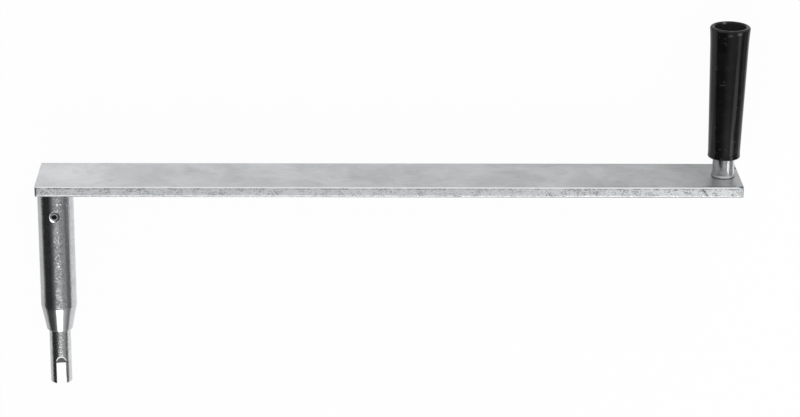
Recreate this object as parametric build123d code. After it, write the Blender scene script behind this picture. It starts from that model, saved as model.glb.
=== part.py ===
"""Crank handle: a flat steel arm with a pinned drive shaft at one end and a turning grip at the other.

Frame, in millimetres: the drive axis is Y, the mouth of the drive socket is at the origin,
the arm runs along +X, the grip points along +Y, and +Z is the side that the spring pin faces.
The crank lies on one long edge of its arm, as it comes to rest when it is put down.
"""
from build123d import *
import math
import os

# ---- arm: a length of flat bar ----
arm_length = 485.0
arm_width = 50.0
arm_thickness = 8.0
arm_edge_radius = 1.0        # rolled edges along the bar
arm_corner_radius = 0.8      # broken corners of the sawn ends
end_margin = 11.5            # from either axis to its own end of the bar

# ---- guide sleeve: a turned tube welded under the arm ----
sleeve_diameter = 25.0
sleeve_barrel = 88.0         # straight length, measured from the arm
sleeve_taper = 18.0          # length of the cone below the barrel
sleeve_nose_diameter = 18.0
sleeve_nose_radius = 0.5     # turned round at the small end
sleeve_bevel = 2.5           # weld preparation on the upper edge, across the wall

# ---- weld bead round the root of the sleeve ----
weld_height = 4.0            # down the sleeve
weld_leg = 3.5               # out along the arm
weld_crown = 0.4             # how far the bead bulges past a straight fillet

# ---- drive shaft, a 15 mm bright bar with a slotted socket in its free end ----
shaft_diameter = 15.0
shaft_reach = 40.0           # how far it stands out of the sleeve
shaft_head_gap = 1.0         # between its upper end and the arm
shaft_chamfer = 0.4
socket_diameter = 10.0
socket_depth = 14.5
slot_width = 6.8
slot_length = 20.4           # from the mouth to the top of the round end
slot_floor = 3.6             # from the axis to the bottom of either slot, which opens into the socket
slot_turn = 7.0              # degrees from the spring pin round to the slots

# ---- spring pin through sleeve and shaft ----
pin_diameter = 6.0
pin_wall = 1.3
pin_slit = 1.0
pin_chamfer = 0.5
pin_sink = 0.5               # each end lies this far under the sleeve's skin
pin_drop = 19.2              # from the arm down to the pin
pin_hole_chamfer = 0.9

# ---- spindle: one turned piece, riveted into the arm ----
spindle_diameter = 15.0
spindle_stand = 13.8         # from the arm to the step under the grip
foot_diameter = 16.4
foot_height = 0.6
foot_sweep = 2.9             # height of the hollow between the foot and the shank
tail_diameter = 10.0
tail_head_diameter = 13.0    # peened into a countersink, flush under the arm
tail_head_height = 1.5
core_diameter = 10.0         # the part that the grip turns on
neck_diameter = 8.0
rivet_diameter = 13.0
rivet_height = 2.6

# ---- grip: a moulded sleeve that turns freely ----
grip_length = 93.4
grip_base_diameter = 21.8    # of the cone, carried down to the base
grip_taper = 0.0555          # growth of diameter for each millimetre of height
grip_flare_height = 15.6     # the part under the mouth that opens out
grip_mouth_diameter = 27.7
grip_mouth_radius = 1.5
grip_foot_height = 5.0       # the part above the base that opens out
grip_foot_diameter = 22.4
grip_foot_radius = 0.8
recess_diameter = 21.4       # open upper end
recess_depth = 13.0
recess_radius = 0.5
washer_diameter = 16.0
washer_thickness = 1.6
washer_clearance = 0.2       # round the neck of the spindle
running_clearance = 0.08     # round the core of the spindle
end_play = 0.2               # above and below the grip

# ---- places that follow from the sizes ----
sleeve_length = sleeve_barrel + sleeve_taper
shaft_drop = sleeve_length + shaft_reach
arm_under = shaft_drop
arm_top = arm_under + arm_thickness
centre_distance = arm_length - 2 * end_margin
sleeve_radius = sleeve_diameter / 2
shaft_radius = shaft_diameter / 2
pin_height = arm_under - pin_drop
grip_base = arm_top + spindle_stand + end_play
grip_top = grip_base + grip_length
recess_floor = grip_top - recess_depth
core_top = recess_floor + end_play
washer_top = core_top + washer_thickness


def turned(*edges):
    """Revolve a closed outline of (radius, height) edges about the Y axis."""
    return revolve(make_face(edges), Axis.Y)


def chain(*points):
    """Straight edges through the points, closed back to the first."""
    return Polyline(*points, close=True)


def rounded(x, y, radius, start):
    """Quarter circle about (x, y) that starts at the given angle."""
    return CenterArc((x, y), radius, start, 90)


def at_grip(shape):
    """Move a shape from the drive axis to the grip's axis."""
    return Pos(centre_distance, 0, 0) * shape


def cross_rod(radius, half_length):
    """A rod along Z, across the drive axis at the height of the spring pin."""
    return Pos(0, pin_height, 0) * Cylinder(radius, 2 * half_length)


def make_arm():
    """Flat bar with rolled edges, and the riveted tail's hole at the grip end."""
    bar = Pos(arm_length / 2 - end_margin, arm_under + arm_thickness / 2, 0) * Box(
        arm_length, arm_thickness, arm_width
    )
    bar = fillet(bar.edges().filter_by(Axis.Y), arm_corner_radius)
    faces = bar.faces().filter_by(Axis.Y)
    bar = fillet(faces.edges().filter_by(Axis.X), arm_edge_radius)
    return bar - at_grip(make_tail())


def make_tail():
    """The spindle's tail, which fills its hole and the countersink under the arm."""
    tail = tail_diameter / 2
    head = tail_head_diameter / 2
    return turned(
        chain(
            (0, arm_under),
            (head, arm_under),
            (tail, arm_under + tail_head_height),
            (tail, arm_top),
            (0, arm_top),
        )
    )


def make_guide_sleeve():
    """Thick tube, bevelled for its weld above and turned to a cone below."""
    nose = sleeve_nose_diameter / 2
    nose_level = arm_under - sleeve_length
    blank = turned(
        chain(
            (shaft_radius, arm_under),
            (sleeve_radius - sleeve_bevel, arm_under),
            (sleeve_radius, arm_under - weld_height),
            (sleeve_radius, arm_under - sleeve_barrel),
            (nose, nose_level),
            (shaft_radius, nose_level),
        )
    )
    rims = blank.edges().filter_by(GeomType.CIRCLE).group_by(Axis.Y)[0]
    blank = fillet(rims.sort_by(SortBy.RADIUS)[-1], sleeve_nose_radius)
    blank -= cross_rod(pin_diameter / 2, sleeve_diameter)
    for side in (1, -1):
        blank -= Pos(0, pin_height, side * sleeve_radius) * pin_countersink(side)
    return blank


def pin_countersink(side):
    """Cone that breaks the edge of the pin's hole where it leaves the sleeve."""
    mouth = pin_diameter / 2 + pin_hole_chamfer
    cone = Cone(mouth + pin_hole_chamfer, pin_diameter / 2, 2 * pin_hole_chamfer)
    return cone if side < 0 else Rot(180, 0, 0) * cone


def make_weld_bead():
    """Fillet of weld round the sleeve's root, which fills the bevel and stops at the bar's end."""
    root = (sleeve_radius - sleeve_bevel, arm_under)
    toe = (sleeve_radius + weld_leg, arm_under)
    heel = (sleeve_radius, arm_under - weld_height)
    slant = math.hypot(weld_leg, weld_height)
    middle = (
        (toe[0] + heel[0]) / 2 + weld_crown * weld_height / slant,
        (toe[1] + heel[1]) / 2 - weld_crown * weld_leg / slant,
    )
    ring = turned(Line(root, toe), ThreePointArc(toe, middle, heel), Line(heel, root))
    side = 3 * sleeve_diameter
    keep = Box(side, side, side, align=(Align.MIN, Align.CENTER, Align.CENTER))
    return ring & (Pos(-sleeve_radius, arm_under, 0) * keep)


def make_drive_shaft():
    """Round bar with a blind socket, and a round-ended slot milled through either wall."""
    top = arm_under - shaft_head_gap
    bar = turned(
        chain(
            (0, 0),
            (shaft_radius - shaft_chamfer, 0),
            (shaft_radius, shaft_chamfer),
            (shaft_radius, top - shaft_chamfer),
            (shaft_radius - shaft_chamfer, top),
            (0, top),
        )
    )
    bar -= turned(
        chain((0, 0), (socket_diameter / 2, 0), (socket_diameter / 2, socket_depth), (0, socket_depth))
    )
    for turn in (slot_turn, slot_turn + 180):
        bar -= Rot(0, turn, 0) * slot_cutter()
    return bar - cross_rod(pin_diameter / 2, shaft_diameter)


def slot_cutter():
    """Path of an end mill that runs out of the mouth, on the +Z side of the shaft."""
    round_end = slot_length - slot_width / 2
    depth = shaft_diameter - slot_floor
    path = Rectangle(slot_width, 2 * round_end) + Pos(0, round_end) * Circle(slot_width / 2)
    return extrude(Pos(0, 0, slot_floor) * path, depth)


def make_spring_pin():
    """Rolled tube with a slit along it and chamfered ends."""
    radius = pin_diameter / 2
    half = sleeve_radius - pin_sink
    pin = Cylinder(radius, 2 * half)
    pin = chamfer(pin.edges().filter_by(GeomType.CIRCLE), pin_chamfer)
    pin -= Cylinder(radius - pin_wall, 2 * half)
    pin -= Pos(-radius, 0, 0) * Box(pin_diameter, pin_slit, 2 * half)
    return Pos(0, pin_height, 0) * pin


def make_spindle():
    """Tail, foot, shank, core and neck in one piece, with its upper end peened over the washer."""
    shank = spindle_diameter / 2
    foot = foot_diameter / 2
    core = core_diameter / 2
    neck = neck_diameter / 2
    rivet = rivet_diameter / 2
    tail = tail_diameter / 2
    head = tail_head_diameter / 2
    step = arm_top + spindle_stand
    foot_top = arm_top + foot_height
    foot_end = foot_top + foot_sweep
    rivet_top = washer_top + rivet_height
    body = turned(
        Polyline((0, arm_under), (head, arm_under), (tail, arm_under + tail_head_height)),
        Polyline((tail, arm_under + tail_head_height), (tail, arm_top), (foot, arm_top), (foot, foot_top)),
        TangentArc((shank, foot_end), (foot, foot_top), tangent=(0, -1)),
        Polyline((shank, foot_end), (shank, step), (core, step), (core, core_top)),
        Polyline((core, core_top), (neck, core_top), (neck, washer_top), (rivet, washer_top)),
        TangentArc((0, rivet_top), (rivet, washer_top), tangent=(1, 0)),
        Line((0, rivet_top), (0, arm_under)),
    )
    return at_grip(body)


def make_grip_washer():
    """Plain washer under the peened end, which keeps the grip on its spindle."""
    inner = neck_diameter / 2 + washer_clearance
    outer = washer_diameter / 2
    ring = turned(chain((inner, core_top), (outer, core_top), (outer, washer_top), (inner, washer_top)))
    return at_grip(ring)


def cone_radius(height):
    """Radius of the grip's plain cone at a height above its base."""
    return (grip_base_diameter + grip_taper * height) / 2


def make_grip():
    """Conical sleeve, flared at both ends, with a recess for the washer in its open mouth."""
    bore = core_diameter / 2 + running_clearance
    foot = grip_foot_diameter / 2
    mouth = grip_mouth_diameter / 2
    recess = recess_diameter / 2
    cone_low = (cone_radius(grip_foot_height), grip_base + grip_foot_height)
    cone_high = (cone_radius(grip_length - grip_flare_height), grip_top - grip_flare_height)
    foot_edge = (foot, grip_base + grip_foot_radius)
    mouth_edge = (mouth, grip_top - grip_mouth_radius)
    up = (grip_taper / 2, 1)
    down = (-grip_taper / 2, -1)
    sleeve = turned(
        Line((bore, grip_base), (foot - grip_foot_radius, grip_base)),
        rounded(foot - grip_foot_radius, grip_base + grip_foot_radius, grip_foot_radius, -90),
        TangentArc(cone_low, foot_edge, tangent=down),
        Line(cone_low, cone_high),
        TangentArc(cone_high, mouth_edge, tangent=up),
        rounded(mouth - grip_mouth_radius, grip_top - grip_mouth_radius, grip_mouth_radius, 0),
        Line((mouth - grip_mouth_radius, grip_top), (recess + recess_radius, grip_top)),
        rounded(recess + recess_radius, grip_top - recess_radius, recess_radius, 90),
        Polyline((recess, grip_top - recess_radius), (recess, recess_floor), (bore, recess_floor)),
        Line((bore, recess_floor), (bore, grip_base)),
    )
    return at_grip(sleeve)


parts = {
    "arm": make_arm(),
    "guide_sleeve": make_guide_sleeve(),
    "weld_bead": make_weld_bead(),
    "drive_shaft": make_drive_shaft(),
    "spring_pin": make_spring_pin(),
    "spindle": make_spindle(),
    "grip_washer": make_grip_washer(),
    "grip": make_grip(),
}

os.makedirs("parts", exist_ok=True)
for node, shape in parts.items():
    export_step(shape, f"parts/{node}.step")
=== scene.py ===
# %% [markdown]
# # A crank handle with a turning grip
#
# The real object is a length of flat bar with a pinned drive shaft hanging from one end and a
# black moulded grip turning on a spindle at the other. Everything but the grip is steel that was
# zinc plated after it was made. This lesson dresses the measured model: each part is built again
# as a surface worked out with numpy, fine enough to carry the small faults that a workshop
# leaves, and gets a finish made from procedural noise.

import math
from functools import partial

import bmesh
import bpy
import numpy as np
from mathutils import Matrix, Quaternion, Vector


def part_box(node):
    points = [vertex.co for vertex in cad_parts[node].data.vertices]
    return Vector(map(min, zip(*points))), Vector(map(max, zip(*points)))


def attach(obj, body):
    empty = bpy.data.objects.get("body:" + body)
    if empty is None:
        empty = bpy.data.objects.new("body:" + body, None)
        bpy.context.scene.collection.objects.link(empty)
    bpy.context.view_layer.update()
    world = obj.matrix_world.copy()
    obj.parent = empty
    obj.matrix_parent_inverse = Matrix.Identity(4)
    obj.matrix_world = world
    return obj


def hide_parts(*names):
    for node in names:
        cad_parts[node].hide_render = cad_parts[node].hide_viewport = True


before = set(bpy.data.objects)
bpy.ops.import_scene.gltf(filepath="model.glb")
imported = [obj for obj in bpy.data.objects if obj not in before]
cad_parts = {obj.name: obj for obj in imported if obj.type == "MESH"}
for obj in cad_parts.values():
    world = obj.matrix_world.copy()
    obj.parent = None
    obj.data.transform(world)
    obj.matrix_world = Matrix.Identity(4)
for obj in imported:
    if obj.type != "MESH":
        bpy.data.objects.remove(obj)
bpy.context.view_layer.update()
print("nodes to dress:", sorted(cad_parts))

# %% [markdown]
# The shapes below are written in millimetres, as they would be on a drawing, and turned into
# metres once, when a mesh is made. Places and main sizes are read from the measured model, so
# that every dressed part lands exactly where the plain one is.

# %% Places and sizes read from the model
MM = 0.001


def corners(node):
    """Lowest and highest corner of a node, in millimetres."""
    low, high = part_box(node)
    return np.array(low) / MM, np.array(high) / MM


arm_low, arm_high = corners("arm")
sleeve_low, sleeve_high = corners("guide_sleeve")
shaft_high = corners("drive_shaft")[1]
pin_low, pin_high = corners("spring_pin")
spindle_low, spindle_high = corners("spindle")
washer_low, washer_high = corners("grip_washer")
grip_low, grip_high = corners("grip")

arm_under, arm_top = arm_low[1], arm_high[1]
sleeve_radius = sleeve_high[2]
sleeve_end = sleeve_low[1]
shaft_radius = shaft_high[2]
shaft_top = shaft_high[1]
pin_height = (pin_low[1] + pin_high[1]) / 2
pin_radius = (pin_high[1] - pin_low[1]) / 2
grip_axis = (spindle_low[0] + spindle_high[0]) / 2
grip_base, grip_top = grip_low[1], grip_high[1]
floor_height = arm_low[2]
print(f"grip axis {grip_axis:.2f} mm from the drive axis, floor at {floor_height:.2f} mm")

# %% [markdown]
# ## Tools of the bench
#
# A part is described by an outline, a chain of points, which is then turned about an axis or
# carried along the bar. The first helpers draw outlines: quarter rounds, and a walk along the
# chain that marks it off at even steps, because the faults added later need points to move.

# %% Drawing outlines


def arc(centre, radius, start, stop, steps=6):
    """Points on a circle: centre plus radius times (cos a, sin a), a in degrees from start to stop."""
    angle = np.radians(np.linspace(start, stop, steps + 1))
    return np.stack((centre[0] + radius * np.cos(angle), centre[1] + radius * np.sin(angle)), axis=1)


def join(*parts):
    """Chain points and arcs into one array of points."""
    return np.concatenate([np.atleast_2d(np.asarray(part, float)) for part in parts])


def walk(outline, step, closed=False):
    """Divide every edge of the outline into equal spans no longer than the step, keeping its corners.

    On each edge a point is start + (end - start) * k / n, with n the edge's length over the step,
    rounded up. The step is one number, or a function of the edge's middle point."""
    ends = np.roll(outline, -1, axis=0) if closed else outline[1:]
    starts = outline if closed else outline[:-1]
    runs = []
    for start, end in zip(starts, ends):
        length = np.hypot(*(end - start))
        if length < 1e-6:
            continue
        size = step((start + end) / 2) if callable(step) else step
        share = np.arange(max(1, math.ceil(length / size - 1e-9)))
        runs.append(start + (end - start) * (share / len(share))[:, None])
    if not closed:
        runs.append(outline[-1:])
    return np.concatenate(runs)


print("a quarter round of 1 mm in 6 steps:", arc((0, 0), 1, 0, 90).round(2).tolist())

# %% [markdown]
# A grid of points becomes a mesh in one call. Rows follow the outline and columns go round, so
# the faces are every point with its neighbours. A row that shrinks to one point is a pole: its
# points are merged, so the shell is closed there. Shading is smooth except where two faces meet
# at a clear angle.

# %% From a grid of points to a mesh
sharp_angle = math.radians(38)
merge_distance = 1e-7


def grid_mesh(name, grid, closed_rows=False):
    """Mesh of a grid (rows, columns, xyz) in millimetres.

    Each face joins (i, j), (i+1, j), (i+1, j+1) and (i, j+1). Columns always run round and meet
    again. Rows meet again only when closed_rows is true."""
    rows, columns = grid.shape[:2]
    index = np.arange(rows * columns).reshape(rows, columns)
    ahead = np.roll(index, -1, axis=0) if closed_rows else index[1:]
    here = index if closed_rows else index[:-1]
    faces = np.stack((here, ahead, np.roll(ahead, -1, axis=1), np.roll(here, -1, axis=1)), axis=-1)
    mesh = bpy.data.meshes.new(name)
    mesh.from_pydata(grid.reshape(-1, 3) * MM, [], faces.reshape(-1, 4))
    shell = bmesh.new()
    shell.from_mesh(mesh)
    bmesh.ops.remove_doubles(shell, verts=shell.verts, dist=merge_distance)
    bmesh.ops.recalc_face_normals(shell, faces=shell.faces)
    shell.to_mesh(mesh)
    shell.free()
    return mesh


def surface(x, y, z):
    """A grid of points from its three coordinates, each spread over the whole grid."""
    return np.stack(np.broadcast_arrays(x, y, z), axis=-1)


def turned_grid(outline, around, axis_x=0.0):
    """Surface of revolution about a line along Y: x = axis + r sin a, y = height, z = r cos a."""
    angle = np.arange(around) * 2 * math.pi / around
    radius, height = outline[:, :1], outline[:, 1:]
    return surface(axis_x + radius * np.sin(angle), height, radius * np.cos(angle))


def new_object(name, data):
    """An object at the origin that holds a mesh, a lamp or a camera."""
    piece = bpy.data.objects.new(name, data)
    bpy.context.scene.collection.objects.link(piece)
    return piece


def shaped(name, grid, closed_rows=False):
    """An object from a grid of points."""
    return new_object(name, grid_mesh(name, grid, closed_rows))


def turned_object(name, outline, around, axis_x=0.0, closed=False):
    """A turned solid from its outline, as an object."""
    return shaped(name, turned_grid(outline, around, axis_x), closed)


def points_of(mesh):
    """The mesh's points in millimetres, as an array."""
    flat = np.empty(len(mesh.vertices) * 3, np.float32)
    mesh.vertices.foreach_get("co", flat)
    return flat.reshape(-1, 3).astype(float) / MM


def carve(piece, *cutters):
    """Take the cutters' solids out of the piece, and throw the cutters away."""
    for cutter in cutters:
        cut = piece.modifiers.new("cut", "BOOLEAN")
        cut.operation = "DIFFERENCE"
        cut.solver = "EXACT"
        cut.object = cutter
    bpy.context.view_layer.update()
    shown = piece.evaluated_get(bpy.context.evaluated_depsgraph_get())
    carved = bpy.data.meshes.new_from_object(shown)
    plain = piece.data
    piece.modifiers.clear()
    piece.data = carved
    bpy.data.meshes.remove(plain)
    for cutter in cutters:
        spent = cutter.data
        bpy.data.objects.remove(cutter)
        bpy.data.meshes.remove(spent)
    return piece


# %% [markdown]
# Faults are heights added along the surface's own normal. The noise behind them is the plain
# lattice kind: random numbers on the corners of a cubic lattice, blended smoothly inside each
# cube. Because it is read in space it has no seam round a turned part.

# %% Noise in space and heights along the normal
lattice_side = 32


def lumps(points, size, seed):
    """Noise from -1 to 1, in cells of the given size.

    Each corner has a random value, and inside a cell they are blended by s*s*(3-2s) along x, y and z."""
    table = np.random.default_rng(seed).uniform(-1, 1, (lattice_side,) * 3)
    scaled = points / np.asarray(size, float)
    cell = np.floor(scaled).astype(int)
    share = scaled - cell
    share = share * share * (3 - 2 * share)
    total = np.zeros(len(points))
    for corner in np.ndindex(2, 2, 2):
        weight = np.prod(np.where(np.array(corner, bool), share, 1 - share), axis=1)
        index = (cell + corner) % lattice_side
        total += weight * table[index[:, 0], index[:, 1], index[:, 2]]
    return total


def rise(values, low, high):
    """Smooth step: 0 below low, 1 above high, s*s*(3-2s) between."""
    share = np.clip((values - low) / (high - low), 0, 1)
    return share * share * (3 - 2 * share)


def near(width, *gaps):
    """1 where all the gaps are nothing: e to minus the sum of their squares over the width squared."""
    return np.exp(-sum(gap**2 for gap in gaps) / width**2)


def blob(points, centre, sizes):
    """A soft spot: e to minus the squared distance from its centre, each axis measured in its own size."""
    return near(1, *((points - np.asarray(centre)) / sizes).T)


def press(mesh, heights):
    """Move every point along its normal by its height in millimetres."""
    normals = np.empty(len(mesh.vertices) * 3, np.float32)
    mesh.vertex_normals.foreach_get("vector", normals)
    moved = points_of(mesh) + normals.reshape(-1, 3) * np.asarray(heights)[:, None]
    mesh.vertices.foreach_set("co", (moved * MM).astype(np.float32).ravel())
    mesh.update()


def mark(mesh, **numbers):
    """Store named numbers for each point, for a finish to read."""
    for name, values in numbers.items():
        layer = mesh.attributes.new(name, "FLOAT", "POINT")
        layer.data.foreach_set("value", np.asarray(values, np.float32))


def hand_over(piece, node, body, finish):
    """Shade the piece, give it its finish, let it ride its body and stand for its node."""
    mesh = piece.data
    mesh.shade_smooth()
    mesh.set_sharp_from_angle(angle=sharp_angle)
    mesh.materials.clear()
    mesh.materials.append(finish)
    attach(piece, body)
    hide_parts(node)
    corners_seen = sum(polygon.loop_total - 2 for polygon in mesh.polygons)
    print(f"{piece.name}: {corners_seen} triangles")


# %% [markdown]
# ## Tools of the finisher
#
# A finish is one Principled shader with small node chains in front of it. The helpers keep those
# chains short to write: one makes a node and fills its sockets, and the others are the few
# building blocks that every finish here is made of.

# %% Node helpers


def node(tree, kind, inputs=None, **settings):
    """Add a node, set its settings, then fill its sockets with numbers or links."""
    made = tree.nodes.new("ShaderNode" + kind)
    for key, value in settings.items():
        setattr(made, key, value)
    for key, value in (inputs or {}).items():
        if isinstance(value, bpy.types.NodeSocket):
            tree.links.new(value, made.inputs[key])
        else:
            made.inputs[key].default_value = value
    return made


def new_finish(name, sockets):
    """A material with its Principled shader set, its node tree, and the object's own coordinates."""
    finish = bpy.data.materials.new(name)
    finish.use_nodes = True
    tree = finish.node_tree
    shader = tree.nodes["Principled BSDF"]
    for key, value in sockets.items():
        shader.inputs[key].default_value = value
    place = node(tree, "TexCoord").outputs["Object"]
    return finish, tree, shader, place


def stretched(tree, place, scale):
    """The coordinates times a scale for each axis, so that a pattern is squeezed along it."""
    return node(tree, "Mapping", {"Vector": place, "Scale": scale}).outputs["Vector"]


def grain(tree, place, size_mm, detail=3.0, rough=0.55, warp=0.0, squeeze=None):
    """Noise from 0 to 1 with lumps of about the given size, squeezed along the axes where asked."""
    if squeeze is not None:
        place = stretched(tree, place, squeeze)
    inputs = {"Vector": place, "Scale": 1 / (size_mm * MM), "Detail": detail}
    return node(tree, "TexNoise", {**inputs, "Roughness": rough, "Distortion": warp}).outputs["Fac"]


def remap(tree, value, low, high, to_low=0.0, to_high=1.0):
    """Smoothly map low..high to to_low..to_high, held at the ends."""
    inputs = {"Value": value, "From Min": low, "From Max": high, "To Min": to_low, "To Max": to_high}
    return node(tree, "MapRange", inputs, interpolation_type="SMOOTHSTEP").outputs["Result"]


def math_of(tree, operation, first, second):
    """One step of arithmetic on two values."""
    return node(tree, "Math", {0: first, 1: second}, operation=operation).outputs[0]


def times(tree, first, second):
    """The product of two values."""
    return math_of(tree, "MULTIPLY", first, second)


def plus(tree, first, second):
    """The sum of two values."""
    return math_of(tree, "ADD", first, second)


def mixed(tree, share, first, second):
    """Blend two numbers by a share."""
    return node(tree, "Mix", {0: share, 2: first, 3: second}).outputs[0]


def blend(tree, share, first, second, kind="MIX"):
    """Blend two colours by a share."""
    inputs = {0: share, 6: first, 7: second}
    return node(tree, "Mix", inputs, data_type="RGBA", blend_type=kind).outputs[2]


def either(tree, share, first, second):
    """Blend two shaders by a share."""
    return node(tree, "MixShader", {0: share, 1: first, 2: second}).outputs[0]


def stored(tree, name):
    """A number that a mesh stores for each of its points."""
    return node(tree, "Attribute", attribute_name=name, attribute_type="GEOMETRY").outputs["Fac"]


def grey(level, blue=0.02):
    """A cool grey: slightly less red and slightly more blue than the level."""
    return (level * (1 - blue), level, level * (1 + blue), 1.0)


def lay_on(tree, shader, **layers):
    """Link the layers that are given, of colour, roughness and normal, to the shader."""
    sockets = {"colour": "Base Color", "roughness": "Roughness", "normal": "Normal"}
    for layer, value in layers.items():
        tree.links.new(value, shader.inputs[sockets[layer]])


# %% [markdown]
# Relief too fine for the mesh is left to the shading normal. Bump reads a height field at its
# real depth. Where a small flat must catch a lamp for certain, the normal is leaned or turned to a
# given direction, written as the object knows it and carried to the world, so that it stays with
# a part that turns.

# %% Helpers for the normal


def bumped(tree, height, depth_mm, strength=1.0, normal=None):
    """Bump: the height field, at a real depth, on top of an earlier normal."""
    inputs = {"Height": height, "Distance": depth_mm * MM, "Strength": strength}
    if normal is not None:
        inputs["Normal"] = normal
    return node(tree, "Bump", inputs).outputs["Normal"]


def to_world(tree, vector):
    """A direction of the object, as the world sees it."""
    settings = {"vector_type": "VECTOR", "convert_from": "OBJECT", "convert_to": "WORLD"}
    return node(tree, "VectorTransform", {0: vector}, **settings).outputs[0]


def unit(tree, vector):
    """A direction made one long."""
    return node(tree, "VectorMath", {0: vector}, operation="NORMALIZE").outputs[0]


def leaned(tree, normal, amount):
    """Lean a normal along the object's Y by an amount: unit of (normal + amount * Y)."""
    along = to_world(tree, node(tree, "CombineXYZ", {"Y": amount}).outputs[0])
    return unit(tree, node(tree, "VectorMath", {0: normal, 1: along}, operation="ADD").outputs[0])


def turned_to(tree, normal, share, direction):
    """Turn a normal towards one direction of the object by a share."""
    goal = to_world(tree, node(tree, "CombineXYZ", dict(zip("XYZ", direction))).outputs[0])
    return unit(tree, node(tree, "Mix", {0: share, 4: normal, 5: goal}, data_type="VECTOR").outputs[1])


# %% [markdown]
# ## Zinc
#
# Electroplated zinc with a clear blue passivation is a cool, pale metal. It is never even: it
# clouds where it dried slowly, its gloss changes with the metal under it, and fine pits and
# specks stay in the hollows. All the plated parts share this recipe with other numbers: clouds
# of tone, fine speckle, roughness that follows them, and relief in two sizes.

# %% The shared recipe for plated steel


def zinc(
    name, tone, cloud_mm, cloud_depth, speck_mm, speck_depth,
    gloss, relief, squeeze=(1, 1, 1), seed=0.0, blue=0.02,
):
    """Plated steel. gloss is the roughness at its smoothest and at its roughest, and relief a list
    of (size, depth) in millimetres. It hands back the finish with its tree, shader and layers, for
    a part to add to."""
    finish, tree, shader, place = new_finish(name, {"Metallic": 1.0})
    offset = (seed, seed * 0.7, seed * 1.3)
    place = node(tree, "Mapping", {"Vector": place, "Location": offset}).outputs["Vector"]
    drawn = stretched(tree, place, squeeze)
    clouds = grain(tree, place, cloud_mm, detail=4.0, warp=0.6)
    specks = grain(tree, drawn, speck_mm, detail=2.0)
    dark = grey(tone * (1 - cloud_depth), blue)
    light = grey(min(1.0, tone * (1 + cloud_depth * 0.6)), blue)
    colour = blend(tree, remap(tree, clouds, 0.3, 0.7), dark, light)
    shade = remap(tree, specks, 0.32, 0.68, 1 - speck_depth, 1.0)
    colour = blend(tree, 1.0, colour, shade, "MULTIPLY")
    worn = plus(tree, times(tree, clouds, 0.5), times(tree, specks, 0.5))
    roughness = remap(tree, worn, 0.35, 0.65, gloss[1], gloss[0])
    lay_on(tree, shader, colour=colour, roughness=roughness)
    normal = None
    for size, depth in relief:
        normal = bumped(tree, grain(tree, drawn, size, detail=2.0), depth, normal=normal)
    if normal is not None:
        lay_on(tree, shader, normal=normal)
    return finish, tree, shader, colour, roughness, place, normal


# %% [markdown]
# ## The arm
#
# A length of rolled flat bar. Its section is a rectangle with rounded edges, carried along X and
# closed at the sawn ends, so the whole bar is one tube of loops whose first and last loops
# shrink to a point. Stretching a box would be shorter, but it has no points for the faults.

# %% The arm's section and its loops
arm_edge_radius = 1.85
arm_far_radius = 1.0
arm_lower_radius = 1.6
arm_corner_radius = 1.1
arm_end_break = 0.25
cap_loops = 8


def bar_section(half_height, half_width, radii, step):
    """Rounded rectangle: four quarter rounds joined by straight sides, as (y, z) about its centre.

    Each rounding has a radius of its own, in the order that the outline meets them."""
    rounds = []
    for quarter, (up, out) in enumerate(((1, 1), (-1, 1), (-1, -1), (1, -1))):
        radius = radii[quarter]
        centre = (up * (half_height - radius), out * (half_width - radius))
        rounds.append(arc(centre, radius, 90 * quarter, 90 * quarter + 90, 8))
    return walk(join(*rounds), step, closed=True)


half_height = (arm_top - arm_under) / 2
half_width = arm_high[2]
arm_radii = (arm_edge_radius, arm_lower_radius, arm_lower_radius, arm_far_radius)
section = bar_section(half_height, half_width, arm_radii, 1.0)
body_x = np.arange(arm_low[0] + 1.9, arm_high[0] - 1.8, 1.0)
reach = np.array([0.0, 0.08, 0.25, 0.6, arm_corner_radius])
inset_z = arm_corner_radius - np.sqrt(arm_corner_radius**2 - (arm_corner_radius - reach) ** 2)
inset_y = np.clip(arm_end_break - reach, 0, None)


def narrowing(inset, half):
    """Share of the full size at each loop: out of a point over the flat end, in by the inset at its
    rim, full along the bar, and the same backwards at the other end."""
    rim = 1 - inset / half
    opening = np.concatenate((np.arange(cap_loops) / cap_loops * rim[0], rim))
    return np.concatenate((opening, np.ones(len(body_x)), opening[::-1]))


end_x = np.concatenate((np.zeros(cap_loops), reach))
stations = np.concatenate((arm_low[0] + end_x, body_x, (arm_high[0] - end_x)[::-1]))
arm_grid = surface(
    stations[:, None],
    (arm_top + arm_under) / 2 + section[:, 0] * narrowing(inset_y, half_height)[:, None],
    section[:, 1] * narrowing(inset_z, half_width)[:, None],
)
arm = shaped("arm_bar", arm_grid)
print("arm grid:", arm_grid.shape)

# %% [markdown]
# The riveted tail of the spindle fills a hole that opens into a countersink under the bar. The
# cutter is that tail's own outline, a hair larger, so that a thin line shows round it.

# %% Hole for the spindle's tail
tail_radius = 5.0
tail_head_radius = 6.5
tail_head_height = 1.5
tail_gap = 0.04
hole_outline = join(
    (0, arm_under - 1), (tail_head_radius + tail_gap + 0.7, arm_under - 1),
    (tail_head_radius + tail_gap, arm_under), (tail_radius + tail_gap, arm_under + tail_head_height),
    (tail_radius + tail_gap, arm_top + 1), (0, arm_top + 1),
)
carve(arm, turned_object("hole_cutter", hole_outline, 96, grip_axis))

# %% [markdown]
# The faces get the long waves of rolling and a few dents, the long edges get pits and nicks. Three
# knocks have places of their own, all near the grip: a chipped corner, a bruise at the end of the
# upper face and a slanting tick across the front edge. Each fault is also kept as a number from 0
# to 1 on the mesh, so that the finish can stain it.

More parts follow.
